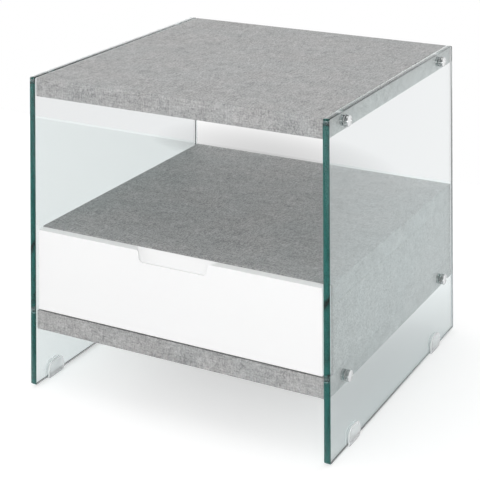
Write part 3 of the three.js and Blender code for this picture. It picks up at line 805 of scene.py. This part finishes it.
def row_of_screws():
    """Sets a screw at each place along a rail, left at its own turn by the screwdriver."""
    tree, given = tree_with_inputs("row_of_screws", {
        "Piece": "Object", "Places": "Object", "Head Turn": "Vector", "Seed": "Int", "Finish": "Material"})
    places = add_node(tree, "GeometryNodeObjectInfo", {"Object": given["Places"]})
    piece = add_node(tree, "GeometryNodeObjectInfo", {"Object": given["Piece"]})
    drive = add_node(tree, "FunctionNodeRandomValue", {
        "Min": (0, 0, 0), "Max": (math.tau, 0, 0), "Seed": given["Seed"]}, data_type="FLOAT_VECTOR")
    placed = add_node(tree, "GeometryNodeInstanceOnPoints", {
        "Points": places.outputs["Geometry"], "Instance": piece.outputs["Geometry"],
        "Rotation": given["Head Turn"]})
    driven = add_node(tree, "GeometryNodeRotateInstances", {
        "Instances": placed.outputs[0], "Rotation": drive.outputs[0], "Local Space": True})
    return finish_tree(tree, driven.outputs[0], given)


def grown(name, tree, values):
    """The plain mesh that a node tree makes from these named values."""
    holder = passing_object(name, bpy.data.meshes.new(name))
    modifier = holder.modifiers.new(name, "NODES")
    modifier.node_group = tree
    for item in tree.interface.items_tree:
        if item.in_out == "INPUT":
            value = values[item.name]
            modifier[item.identifier] = tuple(value) if isinstance(value, (tuple, Vector)) else value
    return evaluated_mesh(holder, name)


def glass_fixings(chrome, plastic, brass):
    tree = four_on_each_side()
    front = middle_of("right_lower_front_cap_bolt")
    rear = middle_of("right_lower_rear_cap_bolt")
    upper = middle_of("right_upper_front_cap_bolt")
    middle = Vector((0, (front.y + rear.y) / 2, (front.z + upper.z) / 2))
    kinds = {
        "cap_bolt": (cap_profile(), chrome, "chrome", 40),
        "outer_washer": (washer_profile(), plastic, "clear_plastic", 40),
        "glass_bush": (bush_profile(), plastic, "clear_plastic", 40),
        "insert": (insert_profile(), brass, "brass", 50),
    }
    for kind, (profile, material, slot, crease) in kinds.items():
        _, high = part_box(f"right_upper_front_{kind}")
        seat = high.x - max(along for along, _ in profile)
        mesh = turned(profile)
        soften(mesh, crease)
        pattern = passing_object(f"{kind}_pattern", mesh)
        made = grown(f"{kind}_set", tree, {
            "Piece": pattern, "Depth Spacing": rear.y - front.y, "Height Spacing": upper.z - front.z,
            "Middle": middle, "Seat": seat, "Finish": material})
        bpy.data.objects.remove(pattern)
        nodes = [f"{side}_{level}_{place}_{kind}" for side in SIDES for level in LEVELS for place in PLACES]
        fit_piece(f"{kind}_set", made, material, "table", nodes)


# Where the screws sit along each rail, as shares of its length, and the seed of how far each is turned.
CASE_SCREWS = {"shares": (0.12, 0.5, 0.88), "above_rail": 12 * MM, "sheet": 1.25 * MM, "seed": 3}
DRAWER_SCREWS = {"shares": (0.1, 0.5, 0.85), "in_from_case": 18.5 * MM, "seed": 7}
FLAT_HEAD = {"head_radius": 3.6 * MM, "head_height": 0.8 * MM, "shank_radius": 1.7 * MM,
             "shank_length": 11 * MM}
PAN_HEAD = {"head_radius": 3.4 * MM, "head_height": 1.8 * MM, "shank_radius": 1.5 * MM,
            "shank_length": 9 * MM}


def screw_row(name, tree, screw, places, head_turn, seed, body, steel):
    points = bpy.data.meshes.new("places")
    points.from_pydata(places, [], [])
    holes = passing_object("places", points)
    mesh = turned(screw_profile(**screw), segments=32, lobes=RECESS_LOBES)
    soften(mesh, degrees=40)
    pattern = passing_object("screw", mesh)
    made = grown(name, tree, {
        "Piece": pattern, "Places": holes, "Head Turn": head_turn, "Seed": seed, "Finish": steel})
    for helper in (pattern, holes):
        bpy.data.objects.remove(helper)
    fit_piece(name, made, steel, body, [])


def runner_screws(steel):
    tree = row_of_screws()
    for side, sign in SIDES.items():
        case_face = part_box(f"{side}_case_side")[0 if sign > 0 else 1].x
        case_low, case_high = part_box(f"{side}_case_rail")
        length = case_high.y - case_low.y
        on_case = [(case_face - sign * CASE_SCREWS["sheet"], case_low.y + share * length,
                    case_low.z + CASE_SCREWS["above_rail"]) for share in CASE_SCREWS["shares"]]
        inwards = (0, 0, math.pi if sign > 0 else 0)
        screw_row(f"{side}_case_rail_screws", tree, FLAT_HEAD, on_case, inwards,
                  CASE_SCREWS["seed"] + sign, "table", steel)
        drawer_low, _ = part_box(f"{side}_drawer_rail")
        under_drawer = [(case_face - sign * DRAWER_SCREWS["in_from_case"], case_low.y + share * length,
                         drawer_low.z) for share in DRAWER_SCREWS["shares"]]
        downwards = (0, math.pi / 2, 0)
        screw_row(f"{side}_drawer_rail_screws", tree, PAN_HEAD, under_drawer, downwards,
                  DRAWER_SCREWS["seed"] + sign, "drawer", steel)


# ---- Rollers ------------------------------------------------------------------------------------

ROLLER = {
    "bore": 2.6 * MM, "hub": 4.5 * MM, "relief": 0.5 * MM, "web": 1.1 * MM, "tread": 1.6 * MM,
    "hub_draft": 0.4 * MM, "tread_draft": 0.3 * MM, "edge": 0.6 * MM,
}


def roller_profile(width, radius):
    """A wheel with a hub, a thinner web and a tread with rounded rims."""
    bore, hub, relief, web, tread = (ROLLER[k] for k in ("bore", "hub", "relief", "web", "tread"))
    rim, sunk = radius - tread, relief + web
    face = [(0, bore), (0, hub), (sunk, hub + ROLLER["hub_draft"]), (sunk, rim - ROLLER["tread_draft"]),
            (relief, rim), (relief, radius)]
    back = [(width - along, r) for along, r in reversed(face)]
    return eased(face + back + face[:1], ROLLER["edge"], steps=3)


def nylon_roller(side, kind, material):
    node = f"{side}_{kind}_roller"
    low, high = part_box(node)
    middle = (low + high) / 2
    mesh = turned(roller_profile(high.x - low.x, (high.z - low.z) / 2), segments=64)
    soften(mesh, degrees=35)
    mesh.transform(Matrix.Translation((low.x, middle.y, middle.z)))
    return fit_piece(f"{side}_{kind}_wheel", mesh, material, node, [node])


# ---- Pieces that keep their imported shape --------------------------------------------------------

def dress_packed_pieces():
    flat = concrete_laminate("concrete_laminate_flat", brushed_along=X, broad_axis=Z)
    upright = concrete_laminate("concrete_laminate_upright", brushed_along=Z, broad_axis=X)
    back = concrete_laminate("concrete_laminate_back", brushed_along=X, broad_axis=Y)
    board, steel = white_board(), epoxy_steel()
    finishes = {
        "top_board": flat, "shelf_board": flat, "base_board": flat, "case_back": back,
        "drawer_back": board, "drawer_bottom": board,
    }
    for side in SIDES:
        finishes[f"{side}_case_side"] = upright
        finishes[f"drawer_{side}_side"] = board
        finishes[f"{side}_case_rail"] = steel
        finishes[f"{side}_drawer_rail"] = steel
    for node, material in finishes.items():
        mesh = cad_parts[node].data
        mesh.materials.clear()
        mesh.materials.append(material)


# ---- Floor, wall and light ----------------------------------------------------------------------

FLOOR_SIDE = 6.0
WALL_PLACE = 0.95
WALL_HEIGHT = 5.0
# How the floor shows: a share that shines by itself and a share that takes the table's shadow.
FLOOR_SEEN = {"glow": (0.43, 0.43, 0.43), "lit": (0.80, 0.80, 0.80)}
FLOOR_THROUGH_GLASS = {"glow": (0.27, 0.27, 0.28), "lit": (0.73, 0.74, 0.73)}
FLOOR_IN_MIRRORS = {"glow": (1.13, 1.13, 1.15), "lit": (0.10, 0.10, 0.10)}
FLOOR_BOUNCE = (0.86, 0.86, 0.86)
# A painted soft shadow behind the table, low on the wall and on the floor before it: its middle and reach
# along the wall and away from the corner, and how dark it is.
PAINTED_WALL_SHADE = {"middle": (-0.45, -0.01), "reach": (0.33, 0.078), "depth": 0.34}
PAINTED_FLOOR_SHADE = {"middle": (-0.45, WALL_PLACE), "reach": (0.33, 0.12), "depth": 0.46}
# A painted shade on the floor by the right-hand pane, which shows only through it and mirrored in it.
PAINTED_SIDE_SHADE = {"middle": (0.24, -0.02), "reach": (0.14, 0.48), "depth": 0.20}
# The floor a little way ahead of the table is dim in mirrors only, a painted shade in reflections: from and
# to where, and how bright it stays.
PAINTED_DIM_AHEAD = {"near": (-0.34, -0.27), "far": (-1.5, -1.1), "level": 0.45}
ROOM_AT_HORIZON = (1.20, 1.20, 1.20)
ROOM_OVERHEAD = (0.46, 0.46, 0.46)
ROOM_THROUGH_GLASS = (0.86, 0.83, 0.84)
# What metal and the glass faces mirror is a painted reflection that lights nothing, from the horizon up:
# behind the table a painted white room and low softbox, ahead of it a painted strip light and then the dark
# side of the studio. The levels are shares of the brightest of each.
PAINTED_REFLECTION = {
    "behind": (
        (0.0, 0.85), (0.20, 0.85), (0.28, 1.0), (0.50, 1.0), (0.58, 0.12), (0.76, 0.12), (0.86, 0.7)),
    "ahead": ((0.0, 1.0), (0.04, 1.0), (0.08, 0.06), (0.86, 0.06), (0.95, 0.12)),
}
MIRRORED_BRIGHTEST = {"behind": 1.6, "ahead": 7.0}
# Where the painted reflection turns softly from its half ahead to its half behind, along Y.
MIRRORED_TURN = (-0.45, -0.15)
WHITE = (1.0, 1.0, 1.0)
BLACK = (0.0, 0.0, 0.0)
GLASS_BOUNCES = 40


def stage_card(name, corners):
    work = bmesh.new()
    work.faces.new([work.verts.new(corner) for corner in corners])
    mesh = bpy.data.meshes.new(name)
    work.to_mesh(mesh)
    work.free()
    card = passing_object(name, mesh)
    return card


def painted_soft_shade(tree, axes, shade):
    """How light a place is under a painted oval of soft shade: one outside it, and 1 - depth at its middle.
    """
    place = parts_of(tree, "Object")
    squares = []
    for axis, middle, reach in zip(axes, shade["middle"], shade["reach"]):
        away = maths(tree, "DIVIDE", maths(tree, "SUBTRACT", place[axis], middle), reach)
        squares.append(maths(tree, "MULTIPLY", away, away))
    inside = maths(tree, "SUBTRACT", 1.0, maths(tree, "ADD", *squares), clamp=True)
    return maths(tree, "MULTIPLY_ADD", inside, -shade["depth"], 1.0)


def painted_dim_ahead(tree):
    """How bright the floor is in mirrors, with painted shade: dim a little way ahead of the table, and full
    elsewhere.
    """
    place = parts_of(tree, "Object")["Y"]
    near = ramp(tree, place, *PAINTED_DIM_AHEAD["near"], PAINTED_DIM_AHEAD["level"], 1.0)
    far = ramp(tree, place, *PAINTED_DIM_AHEAD["far"], 1.0, PAINTED_DIM_AHEAD["level"])
    return maths(tree, "MAXIMUM", near, far)


def lay_floor():
    floor = stage_card("studio_floor", [
        (-FLOOR_SIDE, -FLOOR_SIDE, 0), (FLOOR_SIDE, -FLOOR_SIDE, 0), (FLOOR_SIDE, WALL_PLACE, 0),
        (-FLOOR_SIDE, WALL_PLACE, 0)])
    material, tree, shader = new_finish("studio_floor", base_color=FLOOR_BOUNCE, roughness=0.9,
                                        specular_ior_level=0.0)
    rays = add_node(tree, "ShaderNodeLightPath")
    # Painted shade on the floor: behind the table in every look, beside the right-hand pane through glass
    # and in mirrors, and ahead of the table in mirrors only.
    behind = painted_soft_shade(tree, "XY", PAINTED_FLOOR_SHADE)
    beside = maths(tree, "MULTIPLY", behind, painted_soft_shade(tree, "XY", PAINTED_SIDE_SHADE))
    mirrored = maths(tree, "MULTIPLY", beside, painted_dim_ahead(tree))
    looks = {
        "Is Glossy Ray": (FLOOR_IN_MIRRORS, mirrored),
        "Is Transmission Ray": (FLOOR_THROUGH_GLASS, beside),
        "Is Camera Ray": (FLOOR_SEEN, behind),
    }
    surface = shader.outputs[0]
    for kind, (look, shade) in looks.items():
        glow = add_node(tree, "ShaderNodeEmission", {"Color": (*look["glow"], 1), "Strength": shade})
        colour = blend_colours(tree, shade, BLACK, look["lit"])
        lit = add_node(tree, "ShaderNodeBsdfDiffuse", {"Color": colour})
        seen = add_node(tree, "ShaderNodeAddShader", {0: glow.outputs[0], 1: lit.outputs[0]})
        surface = choose(tree, rays.outputs[kind], surface, seen.outputs[0])
    tree.links.new(surface, tree.nodes["Material Output"].inputs["Surface"])
    floor.data.materials.append(material)


def stand_wall():
    """A white wall behind the table, with a painted soft shade low down, that is open from its rear side
    and takes no part in the lighting."""
    wall = stage_card("studio_wall", [
        (-FLOOR_SIDE, WALL_PLACE, 0), (FLOOR_SIDE, WALL_PLACE, 0), (FLOOR_SIDE, WALL_PLACE, WALL_HEIGHT),
        (-FLOOR_SIDE, WALL_PLACE, WALL_HEIGHT)])
    material, tree, _ = new_finish("studio_wall")
    # Painted soft shade low on the wall, seen by the camera and through glass.
    shade = painted_soft_shade(tree, "XZ", PAINTED_WALL_SHADE)
    clear = add_node(tree, "ShaderNodeBsdfTransparent").outputs[0]
    rays = add_node(tree, "ShaderNodeLightPath")
    surface = clear
    for kind, colour in (("Is Transmission Ray", ROOM_THROUGH_GLASS), ("Is Camera Ray", WHITE)):
        glow = add_node(tree, "ShaderNodeEmission", {"Color": (*colour, 1), "Strength": shade})
        surface = choose(tree, rays.outputs[kind], surface, glow.outputs[0])
    rear = add_node(tree, "ShaderNodeNewGeometry").outputs["Backfacing"]
    tree.links.new(choose(tree, rear, surface, clear), tree.nodes["Material Output"].inputs["Surface"])
    wall.data.materials.append(material)


def mirrored_half(tree, upward, half):
    """One half of the painted reflection, by how far upward the mirrored direction points."""
    stops = PAINTED_REFLECTION[half]
    levels = add_node(tree, "ShaderNodeValToRGB", {"Fac": upward})
    elements = levels.color_ramp.elements
    while len(elements) < len(stops):
        elements.new(1.0)
    for element, (height, level) in zip(elements, stops):
        element.position, element.color = height, (level, level, level, 1)
    return add_node(tree, "ShaderNodeBackground", {
        "Color": levels.outputs[0], "Strength": MIRRORED_BRIGHTEST[half]}).outputs[0]


def light_room():
    """Soft light that is strongest near the horizon, so that it reaches the shelf, in a white room. Glossy
    rays see a painted reflection instead of this light.
    """
    world = bpy.data.worlds.new("white_room")
    scene.world = world
    world.use_nodes = True
    tree = world.node_tree
    direction = parts_of(tree, "Generated")
    height = maths(tree, "ABSOLUTE", direction["Z"])
    lit = tree.nodes["Background"]
    tree.links.new(blend_colours(tree, height, ROOM_AT_HORIZON, ROOM_OVERHEAD), lit.inputs["Color"])
    # Glossy rays see a painted reflection of a room, a softbox and a strip light, which lights nothing.
    behind, ahead = [mirrored_half(tree, direction["Z"], half) for half in ("behind", "ahead")]
    turn = ramp(tree, direction["Y"], *MIRRORED_TURN, 1.0, 0.0)
    mirrored = choose(tree, turn, behind, ahead)
    rays = add_node(tree, "ShaderNodeLightPath")
    surface = choose(tree, rays.outputs["Is Glossy Ray"], lit.outputs[0], mirrored)
    for kind, colour in (("Is Transmission Ray", ROOM_THROUGH_GLASS), ("Is Camera Ray", WHITE)):
        seen = add_node(tree, "ShaderNodeBackground", {"Color": (*colour, 1)})
        surface = choose(tree, rays.outputs[kind], surface, seen.outputs[0])
    tree.links.new(surface, tree.nodes["World Output"].inputs["Surface"])


SOFT_LAMPS = {
    "overhead": {"place": (0.2, -0.3, 2.4), "size": 1.8, "power": 5},
    "front": {"place": (1.4, -2.6, 1.2), "size": 1.6, "power": 17},
    "left": {"place": (-2.6, -0.2, 1.15), "size": 1.4, "power": 14},
    "right": {"place": (2.6, -0.2, 1.15), "size": 1.4, "power": 2},
}


def hang_lamps():
    aim = middle_of("shelf_board")
    for name, lamp in SOFT_LAMPS.items():
        data = bpy.data.lights.new(f"{name}_softbox", "AREA")
        data.shape = "SQUARE"
        data.size = lamp["size"]
        data.energy = lamp["power"]
        box = passing_object(f"{name}_softbox", data)
        box.location = lamp["place"]
        box.rotation_mode = "QUATERNION"
        box.rotation_quaternion = (aim - box.location).to_track_quat("-Z", "Y")
        box.visible_camera = box.visible_glossy = box.visible_transmission = False


# ---- The table ----------------------------------------------------------------------------------

set_up_camera()
lay_floor()
stand_wall()
light_room()
hang_lamps()
scene.view_settings.view_transform = "Standard"
scene.cycles.max_bounces = GLASS_BOUNCES
scene.cycles.transmission_bounces = GLASS_BOUNCES
scene.cycles.glossy_bounces = GLASS_BOUNCES

glass = table_glass()
plastic, plastic_rim = [clear_plastic(name) for name in PLASTIC_CLEARNESS]
chrome, brass, zinc = [turned_metal(name, **look) for name, look in METALS.items()]
nylon = off_white_nylon()
dress_packed_pieces()
for side in SIDES:
    glass_pane(side, glass)
    for place in PLACES:
        clear_glide(side, place, plastic, plastic_rim)
    for kind in ("case", "drawer"):
        nylon_roller(side, kind, nylon)
drawer_front(white_lacquer())
glass_fixings(chrome, plastic, brass)
runner_screws(zinc)
